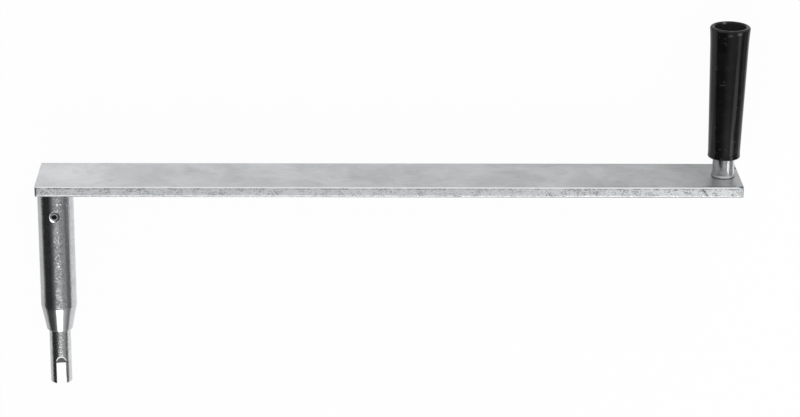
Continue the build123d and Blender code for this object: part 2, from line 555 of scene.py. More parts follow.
# %% Faults of the arm
chip_from_end, chip_from_edge = 1.3, 0.9
bruise_from_end, bruise_z, bruise_lean = 0.7, -15.0, 0.45
tick_from_end, tick_lean = 28.3, 0.62
at = points_of(arm.data)
x, y, z = at.T
end_gap = np.minimum(x - arm_low[0], arm_high[0] - x)
edge_gap = half_width - np.abs(z)
end_face = rise(-end_gap, -0.5, -0.1)
edge_face = rise(-edge_gap, -0.9, -0.2)
upper_edge = near(0.7, arm_top - 0.75 - y, edge_gap - 0.35)
lower_edge = near(1.7, y - arm_under, edge_gap)
rolled = 0.012 * lumps(at, (70, 20, 14), 1) + 0.006 * lumps(at, (18, 9, 5), 2)
dents = -0.07 * rise(lumps(at, (9, 9, 7), 3), 0.55, 0.95)
pitting = -0.08 * rise(lumps(at, (2.4, 1.2, 1.7), 4), 0.0, 0.8) + 0.02 * (lumps(at, (4.2, 1.6, 3.2), 5) - 1)
nicks = -0.22 * rise(lumps(at, (2.2, 2.2, 2.2), 6), 0.45, 0.85)
heights = (rolled + dents) * (1 - edge_face) + pitting * edge_face + nicks * (upper_edge + 0.5 * lower_edge)
heights *= 1 - end_face
chip = blob(at, (arm_high[0] - chip_from_end, arm_top, half_width - chip_from_edge), (1.7, 0.9, 1.1))
heights -= 0.25 * chip
heights[np.hypot(x - grip_axis, z) < tail_head_radius + 3] = 0
press(arm.data, heights)
from_bruise = x - (arm_high[0] - bruise_from_end)
bruise = near(1, from_bruise / 2.0, (z - bruise_z - bruise_lean * from_bruise) / 1.4)
bruise *= rise(y, arm_top - 0.4, arm_top - 0.2)
tick = near(0.75, x - (arm_high[0] - tick_from_end) - tick_lean * (arm_top - 1.3 - y)) * edge_face * (z > 0)
tick *= rise(y, arm_under + 0.8, arm_under + 1.6) * rise(arm_top - 1.0 - y, 0.0, 0.5)
mark(
    arm.data, edge_face=np.maximum(edge_face, end_face), edge_line=upper_edge, lower_line=lower_edge,
    bruised=np.maximum(np.maximum(chip * 1.3, bruise), tick * 0.65).clip(0, 1),
    end_corner=near(1.3, end_gap, edge_gap),
)

# %% [markdown]
# The bar's finish has two grounds: the faces, pale and only lightly clouded, with a few stains and
# long scratches, and the long edges and ends, speckled by their pits. The mill rolled the edges
# in the bar's length, so everything on them is drawn out along X.

# %% Finish of the arm's faces and edges
arm_finish, tree, shader, colour, roughness, place, normal = zinc(
    "plated_bar", tone=0.60, cloud_mm=34, cloud_depth=0.10, speck_mm=3.4, speck_depth=0.035,
    gloss=(0.30, 0.40), relief=[(9, 0.03), (2.4, 0.003)], squeeze=(0.55, 1, 1), seed=0.31,
)
mill = (0.5, 1, 1)
along_bar = node(tree, "SeparateXYZ", {0: node(tree, "TexCoord").outputs["Object"]}).outputs
edge, line = stored(tree, "edge_face"), stored(tree, "edge_line")
under, corner = stored(tree, "lower_line"), stored(tree, "end_corner")
stains = remap(tree, grain(tree, place, 17, detail=5.0, warp=1.2, squeeze=(0.8, 1, 1)), 0.53, 0.72)
colour = blend(tree, times(tree, stains, 0.35), colour, grey(0.36))
scratch = remap(tree, grain(tree, place, 1.2, detail=2.0, squeeze=(0.06, 1, 1)), 0.62, 0.70)
colour = blend(tree, times(tree, scratch, 0.16), colour, grey(0.72))
patchy = times(tree, grain(tree, place, 6, detail=2.0), 0.4)
pits = remap(tree, plus(tree, grain(tree, place, 0.62, rough=0.7, squeeze=mill), patchy), 0.56, 0.69)
worn_pale = remap(tree, along_bar["X"], 0.27, 0.47, 0.83, 1.0)
ground = blend(tree, 1.0, grey(1.0), worn_pale, "MULTIPLY")
colour = blend(tree, edge, colour, blend(tree, pits, grey(0.42), ground))
roughness = mixed(tree, edge, roughness, 0.62)
mill_skin = times(tree, grain(tree, place, 0.8, squeeze=mill), edge)
normal = bumped(tree, mill_skin, 0.06, normal=normal, strength=0.6)

# %% [markdown]
# Over the grounds lie lines. A dark broken line of painted shade runs along the face just under
# the edge, the rounded line above it carries a painted highlight, the line below is chipped down
# to bright zinc, and the corners and the knocks are dark with what stays in them.

# %% The lines along the arm
seam_drop = 1.65
# Painted shade: a dark broken line along the face just under the rounded upper edge.
off_seam = math_of(tree, "SUBTRACT", along_bar["Y"], (arm_top - seam_drop) * MM)
on_seam = remap(tree, math_of(tree, "ABSOLUTE", off_seam, 0.0), 0.0001, 0.0005, 1.0, 0.0)
dashes = remap(tree, grain(tree, place, 1.7, detail=4.0, rough=0.7, squeeze=(0.45, 1, 1)), 0.46, 0.58)
dashes = times(tree, dashes, remap(tree, along_bar["X"], 0.044, 0.050, 1.0, 0.62))
colour = blend(tree, times(tree, times(tree, on_seam, dashes), edge), colour, grey(0.20))
# Painted highlight: the rounded upper edge is painted pale grey.
rubbed = remap(tree, plus(tree, line, times(tree, grain(tree, place, 1.6), 0.5)), 0.72, 1.05)
colour = blend(tree, times(tree, rubbed, 0.85), colour, grey(0.78))
chipped = remap(tree, grain(tree, place, 0.9, rough=0.7, squeeze=mill), 0.40, 0.56, 0.30, 0.62)
chips = blend(tree, 1.0, grey(1.0), chipped, "MULTIPLY")
colour = blend(tree, remap(tree, under, 0.35, 0.8), colour, chips)
colour = blend(tree, corner, colour, grey(0.45))
colour = blend(tree, stored(tree, "bruised"), colour, grey(0.06))
smoothed = math_of(tree, "MAXIMUM", math_of(tree, "MAXIMUM", line, corner), under)
roughness = mixed(tree, times(tree, smoothed, 1.3), roughness, 0.22)
lay_on(tree, shader, colour=colour, roughness=roughness, normal=normal)
hand_over(arm, "arm", "crank", arm_finish)

# %% [markdown]
# ## The guide sleeve
#
# A thick tube turned to a cone at its lower end, with a weld bevel above and a cross hole for
# the spring pin. It is a closed outline turned about the drive axis. The barrel was left as the
# tube came, hammered and drawn, and the cone is freshly turned, so only the barrel carries
# lumps. The pin's hole is cut with a rod that widens to a countersink at either end.

# %% Outline of the sleeve
nose_radius = 9.0
barrel_end = 58.0
sleeve_bevel = 2.5
weld_height = 4.0
nose_round = 0.5
bore_gap = 0.03
bore_radius = shaft_radius + bore_gap
taper_angle = math.degrees(math.atan2(sleeve_radius - nose_radius, barrel_end - sleeve_end))
sleeve_outline = join(
    (bore_radius, arm_under), (sleeve_radius - sleeve_bevel, arm_under),
    (sleeve_radius, arm_under - weld_height),
    arc((sleeve_radius - 0.3, barrel_end + 0.05), 0.3, 0, -taper_angle, 3),
    arc((nose_radius - nose_round + 0.08, sleeve_end + nose_round), nose_round, -taper_angle, -90, 5),
    (bore_radius + 0.25, sleeve_end), (bore_radius, sleeve_end + 0.35),
)
print(f"taper half angle {taper_angle:.1f} degrees")


def sleeve_step(middle):
    """Short steps on the skin that shows, long ones in the bore."""
    return 6.0 if middle[0] < bore_radius + 0.01 else 0.5


sleeve = turned_object("guide_sleeve_tube", walk(sleeve_outline, sleeve_step, closed=True), 240, closed=True)

# %% The cross hole and its countersinks


def across(name, outline, around, level):
    """A turned solid laid across the drive axis: its own axis is Z, at the given height."""
    x, along, y = np.moveaxis(turned_grid(outline, around), -1, 0)
    return shaped(name, surface(x, level + y, along))


flank = np.array([
    (0.0, 1.05), (0.12, 0.85), (0.30, 0.62), (0.55, 0.38), (0.85, 0.17), (1.2, -0.02), (2.6, -0.6),
])
upper_flank = np.stack((pin_radius + flank[:, 0], sleeve_radius - flank[:, 1]), axis=1)
lower_flank = upper_flank[::-1] * (1, -1)
rod_outline = join((0, -sleeve_radius - 0.6), lower_flank, upper_flank, (0, sleeve_radius + 0.6))
at = points_of(sleeve.data)
on_skin = rise(np.hypot(at[:, 0], at[:, 2]), sleeve_radius - 0.4, sleeve_radius - 0.05)
hammered = 0.006 * lumps(at, (1.6, 2.2, 1.6), 11) + 0.02 * lumps(at, (5, 11, 5), 12)
press(sleeve.data, (hammered - 0.026) * on_skin)
carve(sleeve, across("rod_cutter", rod_outline, 64, pin_height))

# %% [markdown]
# The countersink was worked by hand: driving the pin burnished a crescent on its lower left, which
# is also painted pale as a painted highlight, and the rest of the rim is painted dark as painted
# shade. Two small flats above the pin glint, and the lower rim of the nose has a painted shadow.

# %% Marks on the sleeve
glint_radius = 0.36
x, y, z = points_of(sleeve.data).T
off_pin = np.hypot(x, y - pin_height)
rightward = x / np.maximum(off_pin, 0.1)
downward = (pin_height - y) / np.maximum(off_pin, 0.1)
facing = rise(z, 0.0, 1.0)
# The crescent is burnished and also painted pale, as a painted highlight.
crescent = rise(0.35 * downward - rightward, -0.05, 0.5)
crescent_width = 0.55 + 0.45 * rise(downward, 0.3, 0.9)
glints = [near(glint_radius, x - right, y - pin_height - up) for right, up in ((2.4, 9.3), (4.3, 9.2))]
# The mark on the nose's lower rim is a painted shadow on one side.
mark(
    sleeve.data, turned=rise(barrel_end + 0.2 - y, 0.0, 0.4),
    burnished=facing * crescent * rise(pin_radius + crescent_width - off_pin, 0.0, 0.25),
    dulled=facing * (1 - crescent) * rise(pin_radius + 1.0 - off_pin, 0.0, 0.3),
    glint=np.maximum(*glints) * (z > 0),
    nose_rim=rise(sleeve_end + 0.75 - y, 0.0, 0.5) * rise(4.0 - x, 0.0, 6.0),
)

# %% [markdown]
# The barrel's skin is a field of tiny flats, each catching the light on its own, which is what
# makes plated tube sparkle. The cone is smooth with fine turning marks. One number stored on
# the mesh tells the finish which is which.

# %% Finish of the sleeve
sleeve_finish, tree, shader, colour, roughness, place, _ = zinc(
    "plated_tube", tone=0.59, cloud_mm=9, cloud_depth=0.06, speck_mm=1.3, speck_depth=0.10,
    gloss=(0.12, 0.22), relief=[], seed=1.7,
)
turned_part, burnished = stored(tree, "turned"), stored(tree, "burnished")
fine = bumped(tree, grain(tree, place, 0.8, detail=1.0), 0.007)
spangle = remap(tree, grain(tree, place, 0.9, rough=0.65), 0.32, 0.68, -0.125, 0.15)
normal = leaned(tree, fine, times(tree, spangle, math_of(tree, "SUBTRACT", 1.0, turned_part)))
normal = turned_to(tree, normal, stored(tree, "glint"), (0.09, -0.2, 0.976))
normal = turned_to(tree, normal, times(tree, burnished, 0.85), (0, -0.42, 0.9))
roughness = mixed(tree, turned_part, roughness, 0.17)
# Painted shade darkens the countersink round the rest of the rim.
for share, level in ((stored(tree, "nose_rim"), 0.28), (stored(tree, "dulled"), 0.22), (burnished, 0.95)):
    colour = blend(tree, share, colour, grey(level))
lay_on(tree, shader, colour=colour, roughness=roughness, normal=normal)
hand_over(sleeve, "guide_sleeve", "crank", sleeve_finish)

# %% [markdown]
# ## The weld
#
# A fillet of weld fills the bevel of the sleeve and runs out on the arm. Its section is a
# triangle with a bulging face, turned about the drive axis; the face rises and falls as each
# drop froze over the last, in crescents that lean with the direction of travel. It stops at the
# end of the bar.

# %% The weld bead
weld_leg = 3.5
weld_crown = 0.4
weld_drops = 46
drop_height = 0.20
drop_lean = 0.9
wander_height = 0.18
bead_around = 460
bead_root = np.array((sleeve_radius - sleeve_bevel, arm_under))
bead_toe = np.array((sleeve_radius + weld_leg, arm_under))
bead_heel = np.array((sleeve_radius, arm_under - weld_height))
share = np.linspace(0, 1, 15)[:, None]
slope = (bead_heel - bead_toe) / np.hypot(*(bead_heel - bead_toe))
outward = np.array((-slope[1], slope[0]))
face_line = bead_toe + (bead_heel - bead_toe) * share + outward * weld_crown * 4 * share * (1 - share)
bead_outline = np.concatenate((bead_root[None], face_line))
bead_grid = turned_grid(bead_outline, bead_around)
angle = np.arange(bead_around) * 2 * math.pi / bead_around
drop = weld_drops * angle[None, :] / (2 * math.pi) + drop_lean * (2 * share - 1) ** 2
crest = np.abs(np.sin(math.pi * drop)) ** 0.6 - 0.65
swell = crest * np.sin(math.pi * share) ** 0.5 * drop_height
radial = np.stack((np.sin(angle), np.zeros(bead_around), np.cos(angle)), axis=-1)
lift = outward[0] * radial[None] + outward[1] * np.array((0, 1, 0))
bead_grid[1:] += swell[:, :, None] * lift
wander = lumps(bead_grid.reshape(-1, 3), 4.0, 21).reshape(bead_grid.shape[:2]) * wander_height
fading = np.sin(math.pi * np.clip(share + 0.25, 0, 1))
bead_grid[1:] += wander[1:, :, None] * radial[None] * fading[:, :, None]
bead_grid[..., 0] = np.maximum(bead_grid[..., 0], -sleeve_radius)
bead_grid[..., 1] = np.minimum(bead_grid[..., 1], arm_under)
bead = shaped("weld_fillet", bead_grid, closed_rows=True)
weld_finish, *_ = zinc(
    "plated_weld", tone=0.46, cloud_mm=5, cloud_depth=0.22, speck_mm=0.7, speck_depth=0.18,
    gloss=(0.30, 0.48), relief=[(0.6, 0.05)], seed=2.9,
)
hand_over(bead, "weld_bead", "crank", weld_finish)

# %% [markdown]
# ## The drive shaft
#
# A drawn round bar, bored from its free end and milled through either wall, so that the socket
# slips over a thinner shaft and the slots take that shaft's cross pin. Its outline starts on the
# axis at the top, comes down the skin, round the broken edge and back up the bore to the axis.
# The slots are cut with the shape that an end mill sweeps, because a slot carved afterwards has
# true corners, which a bent grid would smear.

# %% The shaft's bar
shaft_chamfer = 0.4
socket_radius = 5.0
socket_depth = 14.5
shaft_outline = join(
    (0, shaft_top), (shaft_radius - shaft_chamfer, shaft_top), (shaft_radius, shaft_top - shaft_chamfer),
    (shaft_radius, sleeve_end + 2), (shaft_radius, shaft_chamfer), (shaft_radius - 0.12, 0.12),
    (shaft_radius - shaft_chamfer, 0), (socket_radius + 0.3, 0), (socket_radius, 0.3),
    (socket_radius, socket_depth - 0.3), (socket_radius - 0.3, socket_depth), (0, socket_depth + 0.001),
)


def shaft_step(middle):
    """Short steps on the end that stands out, long ones inside the sleeve."""
    return 0.4 if middle[1] < sleeve_end + 2 else 6.0


shaft = turned_object("drive_shaft_bar", walk(shaft_outline, shaft_step), 200)
at = points_of(shaft.data)
on_skin = rise(np.hypot(at[:, 0], at[:, 2]), shaft_radius - 0.3, shaft_radius - 0.02)
on_skin *= rise(sleeve_end - at[:, 1], 0.0, 0.5)
drawn = 0.02 * lumps(at, (0.9, 1.8, 0.9), 31) + 0.015 * lumps(at, (3, 9, 3), 32)
press(shaft.data, (drawn - 0.02) * on_skin)

# %% The slots' cutter
slot_half = 3.4
slot_length = 20.4
slot_floor = 3.6
slot_lead = 2.0
slot_break = 0.15
dome_tuck, dome_fall = 0.9, 0.75
slot_turn = math.radians(7.0)
dome_centre = slot_length - slot_half


def slot_cutter(name, turn):
    """A milled slot: its plan is two straight sides joined by a half circle. The straight walls go
    up from the floor with a hair of a chamfer; the wall of the round end slopes back to the skin."""
    sides = np.linspace(-slot_lead, dome_centre, 50)
    bend = np.linspace(0, math.pi, 33)[1:-1]
    full, none = np.ones(len(sides)), np.zeros(len(sides))
    half_circle = np.stack((np.cos(bend), np.sin(bend)), axis=1)
    plan = np.concatenate((
        np.stack((slot_half * full, sides), axis=1),
        slot_half * half_circle + (0, dome_centre),
        np.stack((-slot_half * full, sides[::-1]), axis=1),
    ))
    away = np.concatenate((np.stack((full, none), axis=1), half_circle, np.stack((-full, none), axis=1)))
    skin = np.sqrt(shaft_radius**2 - plan[:, 0] ** 2)
    middle = np.array((0.0, (slot_length - slot_lead) / 2))
    dome = rise(plan[:, 1], dome_centre - 0.6, dome_centre + 0.9)
    tuck, fall = -dome_tuck * dome, slot_break + dome_fall * dome
    bottom, above = np.full(len(plan), slot_floor), np.full(len(plan), shaft_radius + 2)
    rings = []
    for inward, widen, level in (
        (0.0, tuck, bottom), (1.0, tuck, bottom), (1.0, tuck, skin - fall),
        (1.0, tuck + fall + 0.5, skin + 0.5), (1.0, tuck + fall + 0.5, above), (0.0, tuck, above),
    ):
        flat = middle + (plan - middle) * inward + away * widen[:, None] * (inward > 0)
        rings.append(np.stack((flat[:, 0], flat[:, 1], level), axis=1))
    grid = np.stack(rings)
    x, z = grid[..., 0].copy(), grid[..., 2].copy()
    grid[..., 0] = x * math.cos(turn) + z * math.sin(turn)
    grid[..., 2] = z * math.cos(turn) - x * math.sin(turn)
    return shaped(name, grid)


shaft_pin_hole = join((0, -9), (pin_radius, -9), (pin_radius, 9), (0, 9))
carve(
    shaft,
    slot_cutter("slot_cutter_front", slot_turn),
    slot_cutter("slot_cutter_back", slot_turn + math.pi),
    across("shaft_pin_cutter", shaft_pin_hole, 48, pin_height),
)

# %% [markdown]
# Little zinc reaches the bore, so it is dark and dull, and its dark colour is also painted shade
# for the hollow. The sloping lip at the round end of the front slot has a painted highlight: pale
# colour, and a normal turned to the light.

# %% Finish of the shaft
x, y, z = points_of(shaft.data).T
from_axis = np.hypot(x, z)
up_slot = y - dome_centre
from_dome = np.hypot(x * math.cos(slot_turn) - z * math.sin(slot_turn), up_slot)
# The slot's lip gets a painted highlight: pale colour and a normal turned to the light.
rim = rise(slot_half + 0.2 - from_dome, 0.0, 0.2) * rise(from_dome, slot_half - 1.2, slot_half - 1.0)
rim *= rise(from_axis, shaft_radius - 1.4, shaft_radius - 1.1) * rise(up_slot, -0.8, 0.2) * rise(z, 0.0, 1.0)
mark(shaft.data, inside=rise(shaft_radius - 1.0 - from_axis, 0.0, 0.3), slot_rim=rim)
shaft_finish, tree, shader, colour, roughness, _, normal = zinc(
    "plated_shaft", tone=0.70, cloud_mm=5, cloud_depth=0.10, speck_mm=0.9, speck_depth=0.20,
    gloss=(0.10, 0.20), relief=[(1.1, 0.16), (0.5, 0.03)], squeeze=(0.6, 1, 0.6), seed=4.1, blue=0.012,
)
inside, rim = stored(tree, "inside"), stored(tree, "slot_rim")
# The bore's dark grey is partly thin zinc and partly painted shade.
colour = blend(tree, rim, blend(tree, inside, colour, grey(0.15)), grey(0.90))
normal = turned_to(tree, normal, times(tree, rim, 0.7), (0.1, -0.5, 0.86))
lay_on(tree, shader, colour=colour, roughness=mixed(tree, inside, roughness, 0.45), normal=normal)
hand_over(shaft, "drive_shaft", "crank", shaft_finish)

# %% [markdown]
# ## The spring pin
#
# A strip of spring steel rolled into a tube that doesn't quite close. Its wall is a long thin
# rectangle with chamfered outer corners, carried round an arc from one lip of the slit to the
# other, and closed at both lips.

# %% The rolled pin
pin_wall = 1.3
pin_slit = 1.0
pin_chamfer = 0.5
pin_half = pin_high[2]
wall_outline = walk(
    join(
        (pin_radius - pin_wall, -pin_half + 0.12), (pin_radius - pin_wall + 0.12, -pin_half),
        (pin_radius - pin_chamfer, -pin_half), (pin_radius, -pin_half + pin_chamfer),
        (pin_radius, pin_half - pin_chamfer), (pin_radius - pin_chamfer, pin_half),
        (pin_radius - pin_wall + 0.12, pin_half), (pin_radius - pin_wall, pin_half - 0.12),
    ),
    1.0, closed=True,
)
lip = math.asin(pin_slit / 2 / pin_radius)
sweep = np.linspace(lip, 2 * math.pi - lip, 89)
wall_middle = wall_outline.mean(axis=0)
shrink = np.concatenate(([0.0], np.ones(len(sweep)), [0.0]))[:, None, None]
sweep = np.concatenate((sweep[:1], sweep, sweep[-1:]))[:, None]
wall = wall_middle + (wall_outline[None] - wall_middle) * shrink
round_pin, along_pin = wall[..., 0], wall[..., 1]
pin_grid = surface(-round_pin * np.cos(sweep), pin_height + round_pin * np.sin(sweep), along_pin)
pin = shaped("rolled_pin", pin_grid)
x, y, z = points_of(pin.data).T
off_pin = np.hypot(x, y - pin_height)
mark(
    pin.data, end_flat=rise(np.abs(z), pin_half - 0.08, pin_half - 0.02),
    bore=rise(pin_radius - pin_wall + 0.1 - off_pin, 0.0, 0.1),
)
pin_finish, tree, shader, colour, *_ = zinc(
    "dark_spring_steel", tone=0.22, cloud_mm=3, cloud_depth=0.25, speck_mm=0.5, speck_depth=0.2,
    gloss=(0.22, 0.40), relief=[(0.5, 0.02)], seed=5.3,
)
# The bore's near black is painted shade inside the rolled tube.
for name, level in (("end_flat", 0.52), ("bore", 0.03)):
    colour = blend(tree, stored(tree, name), colour, grey(level))
lay_on(tree, shader, colour=colour)
hand_over(pin, "spring_pin", "crank", pin_finish)

# %% [markdown]
# ## The spindle
#
# One turned piece: a countersunk head under the arm where its tail was peened over, a foot that
# sweeps up into the shank, a thinner core for the grip to turn on, a neck for the washer and a
# domed rivet head. All of it is one outline turned about the grip's axis.

# %% The spindle's outline
foot_radius = 8.2
foot_height = 0.6
foot_sweep = 2.9
shank_radius = 7.5
core_radius = 5.0
neck_radius = 4.0
rivet_radius = 6.5
step_height = grip_base - 0.2
core_top, washer_top = washer_low[1], washer_high[1]
rivet_top = spindle_high[1]
hollow = foot_radius - shank_radius
sweep_radius = (hollow**2 + foot_sweep**2) / (2 * hollow)
turn = math.degrees(math.atan2(foot_sweep, sweep_radius - hollow))
foot_top = arm_top + foot_height
foot_curve = arc((shank_radius + sweep_radius, foot_top + foot_sweep), sweep_radius, 180 + turn, 180, 10)
dome_rise = rivet_top - washer_top
dome_radius = (rivet_radius**2 + dome_rise**2) / (2 * dome_rise)
dome_turn = math.degrees(math.asin(rivet_radius / dome_radius))
spindle_outline = join(
    (0, arm_under), (tail_head_radius - 0.15, arm_under), (tail_head_radius - 0.06, arm_under + 0.12),
    (tail_radius, arm_under + tail_head_height), (tail_radius, arm_top), (foot_radius - 0.35, arm_top),
    (foot_radius, arm_top + 0.3), foot_curve, (shank_radius, step_height - 0.3),
    (shank_radius - 0.3, step_height), (core_radius, step_height), (core_radius, core_top),
    (neck_radius, core_top), (neck_radius, washer_top), (rivet_radius - 0.25, washer_top),
    (rivet_radius, washer_top + 0.25),
    arc((0, rivet_top - dome_radius), dome_radius, 90 - dome_turn + 2, 90, 14)[:-1], (0, rivet_top),
)


def spindle_step(middle):
    """Short steps on the foot and shank and on the two heads, long ones where nothing shows."""
    on_shank = arm_top - 0.1 < middle[1] < step_height + 0.1
    on_heads = middle[1] > core_top or middle[1] < arm_under + 0.2
    return 0.4 if on_shank or on_heads else 5.0


spindle = turned_object("grip_spindle", walk(spindle_outline, spindle_step), 176, grip_axis)

# %% [markdown]
# The shank is as the lathe left it, and only the two peened heads are lumpy. Dirt and painted shade
# sit in the thin line where the foot meets the arm; painted shade darkens the foot's sweep, most of
# all on its left, and the left of the shank.

# %% Faults and finish of the spindle
at = points_of(spindle.data)
x, y, z = at.T
sideways = (x - grip_axis) / foot_radius
above_arm = y - arm_top
on_shank = rise(above_arm, 0.3, 1.5) * rise(step_height - y, 0.3, 1.0)
peened = np.maximum(rise(arm_under + 0.1 - y, 0, 0.05), rise(y, washer_top + 0.2, washer_top + 0.6))
peened *= rise(rivet_radius - np.hypot(x - grip_axis, z), 0, 0.6)
heights = 0.012 * lumps(at, (1.4, 3.5, 1.4), 41) * on_shank
heights += peened * 0.12 * (lumps(at, (2.2, 6, 2.2), 42) - 0.5)
press(spindle.data, heights)
joint_line = rise(0.60 - above_arm, 0.0, 0.4) * (0.45 + 0.55 * rise(np.abs(sideways), 0.3, 0.8))
in_sweep = rise(above_arm, 0.1, 0.5) * rise(3.2 - above_arm, 0.0, 1.4)
in_sweep *= 0.04 + 0.76 * rise(-sideways, 0.25, 0.8) + 0.30 * rise(sideways, 0.6, 0.9)
tarnish = 0.5 * rise(-sideways, 0.15, 0.55) * rise(z, 0.0, 2.0) * (y < grip_base + 1)
grime = np.maximum(np.maximum(joint_line, in_sweep), tarnish) * rise(above_arm, -0.5, 0.0)
mark(spindle.data, sweep=rise(above_arm, 0.0, 0.3) * rise(3.8 - above_arm, 0.0, 2.0), grime=grime)
spindle_finish, tree, shader, colour, roughness, place, _ = zinc(
    "plated_spindle", tone=0.60, cloud_mm=6, cloud_depth=0.12, speck_mm=0.8, speck_depth=0.08,
    gloss=(0.16, 0.26), relief=[(1.1, 0.02)], squeeze=(1, 0.4, 1), seed=6.1,
)
# Dirt at the joint, and painted shade on the foot's sweep and the shank's left, darken the colour here.
grimy = times(tree, stored(tree, "grime"), remap(tree, grain(tree, place, 2.5), 0.3, 0.6, 0.6, 1.0))
colour = blend(tree, grimy, colour, grey(0.17))
lay_on(tree, shader, colour=colour, roughness=mixed(tree, stored(tree, "sweep"), roughness, 0.38))
hand_over(spindle, "spindle", "crank", spindle_finish)

# %% [markdown]
# ## The washer
#
# A punched washer keeps the grip on its core. Punching rounds one edge and leaves the other
# crisp, and the rivet head above it has spread over its face.

# %% The punched washer
washer_outer = (washer_high[0] - washer_low[0]) / 2
washer_inner = neck_radius + 0.2
washer_outline = walk(
    join(
        (washer_inner, core_top), (washer_outer - 0.1, core_top), (washer_outer, core_top + 0.1),
        arc((washer_outer - 0.4, washer_top - 0.4), 0.4, 0, 90, 4),
        arc((washer_inner + 0.3, washer_top - 0.3), 0.3, 90, 180, 3),
    ),
    0.5, closed=True,
)
washer = turned_object("punched_washer", washer_outline, 128, grip_axis, closed=True)
washer_finish, *_ = zinc(
    "plated_washer", tone=0.50, cloud_mm=4, cloud_depth=0.16, speck_mm=0.7, speck_depth=0.12,
    gloss=(0.24, 0.38), relief=[(0.8, 0.03)], seed=7.7,
)
hand_over(washer, "grip_washer", "crank", washer_finish)

# %% [markdown]
# ## The grip
#
# A tube of hard black plastic, slightly conical, flared at the mouth and at the foot. Its wall
# is one closed outline turned about the grip's axis. The mould left a faint parting line down
# both sides and shallow rings where the core was polished, and use has left scuffs.

# %% The grip's outline
bore = core_radius + 0.08
cone_base_diameter = 21.8
cone_taper = 0.0555
flare_height = 15.6
mouth_round = 1.5
foot_flare = 5.0
grip_foot_radius = 11.2
foot_round = 0.8
recess_radius = 10.7
recess_round = 1.1
recess_floor = core_top - 0.2
mouth_radius = (grip_high[0] - grip_low[0]) / 2


def flare(start, lean, end, steps=12):
    """Circular arc that leaves start along lean and passes through end.

    Its radius is the chord squared over twice the chord's part across lean."""
    start, end = np.asarray(start, float), np.asarray(end, float)
    lean = np.asarray(lean, float) / np.hypot(*lean)
    side = np.array((lean[1], -lean[0]))
    chord = end - start
    radius = chord @ chord / (2 * (chord @ side))
    centre = start + side * radius
    spread = 2 * math.atan2(chord @ side, chord @ lean)
    turns = np.linspace(0, spread, steps + 1)[:, None]
    return centre - side * radius * np.cos(turns) + lean * radius * np.sin(turns)


def cone_radius(height):
    """Radius of the plain cone at a height above the base."""
    return (cone_base_diameter + cone_taper * height) / 2


lean = np.array((cone_taper / 2, 1.0))
cone_low = (cone_radius(foot_flare), grip_base + foot_flare)
cone_high = (cone_radius(grip_top - grip_base - flare_height), grip_top - flare_height)
mouth_edge = (mouth_radius, grip_top - mouth_round)
foot_edge = (grip_foot_radius, grip_base + foot_round)
grip_outline = join(
    (bore, grip_base + 0.3), (bore + 0.3, grip_base), (grip_foot_radius - foot_round, grip_base),
    arc((grip_foot_radius - foot_round, grip_base + foot_round), foot_round, -90, 0, 6)[1:],
    flare(cone_low, -lean, foot_edge, 8)[::-1][1:],
    flare(cone_high, lean, mouth_edge, 16)[:-1],
    arc((mouth_radius - mouth_round, grip_top - mouth_round), mouth_round, 0, 90, 10),
    arc((recess_radius + recess_round, grip_top - recess_round), recess_round, 90, 180, 5),
    arc((recess_radius - 0.6, recess_floor + 0.6), 0.6, 0, -90, 4), (bore, recess_floor),
)


def grip_step(middle):
    """Short steps outside, long ones in the bore."""
    return 8.0 if abs(middle[0] - bore) < 0.05 else 0.6


grip = turned_object("moulded_grip", walk(grip_outline, grip_step, closed=True), 224, grip_axis, closed=True)

# %% [markdown]
# The parting line is a low ridge down two opposite sides. Near the mouth three spots are painted
# pale as painted glints. They are stored on the mesh, and so is the recess, which kept the mould's
# dull skin.

# %% Faults of the grip
parting_angle = math.radians(62)
parting_width, parting_height = 0.28, 0.05
rub_spots = ((4.7, 2.0, 12.6, 1.5, 0.40), (-1.6, 3.0, 13.6, 1.4, 0.20), (-2.8, 0.8, -10.6, 1.2, 1.0))
at = points_of(grip.data)
x, y, z = at.T
around = np.arctan2(z, x - grip_axis)
radius = np.hypot(x - grip_axis, z)
outside = rise(radius, recess_radius + 0.6, recess_radius + 1.0) * rise(y, grip_base + 0.2, grip_base + 1.0)
outside *= rise(grip_top - y, 0.2, 1.4)
from_line = [np.abs(np.angle(np.exp(1j * (around - parting_angle - half)))) for half in (0, math.pi)]
heights = 0.008 * lumps(at, (9, 26, 9), 51) + 0.003 * lumps(at, (2.5, 40, 2.5), 52)
heights += parting_height * near(parting_width, np.minimum(*from_line) * radius)
press(grip.data, heights * outside)
in_recess = rise(recess_radius + 0.9 - radius, 0.0, 0.5) * rise(y, recess_floor - 2.0, recess_floor - 1.0)
rubs = np.zeros(len(at))
for right, drop, forward, size, depth in rub_spots:
    spot = blob(at, (grip_axis + right, grip_top - drop, forward), (size, size * 0.55, size))
    rubs = np.maximum(rubs, depth * spot)
mark(grip.data, recess=in_recess * rise(grip_top - y, 0.5, 1.3), rubbed_spot=rubs)

# %% [markdown]
# Black plastic is mostly a matter of gloss: a dark body, a soft sheen that dulls where hands
# have rubbed it, faint rings, and pale hairline scuffs that run round and across the grip.

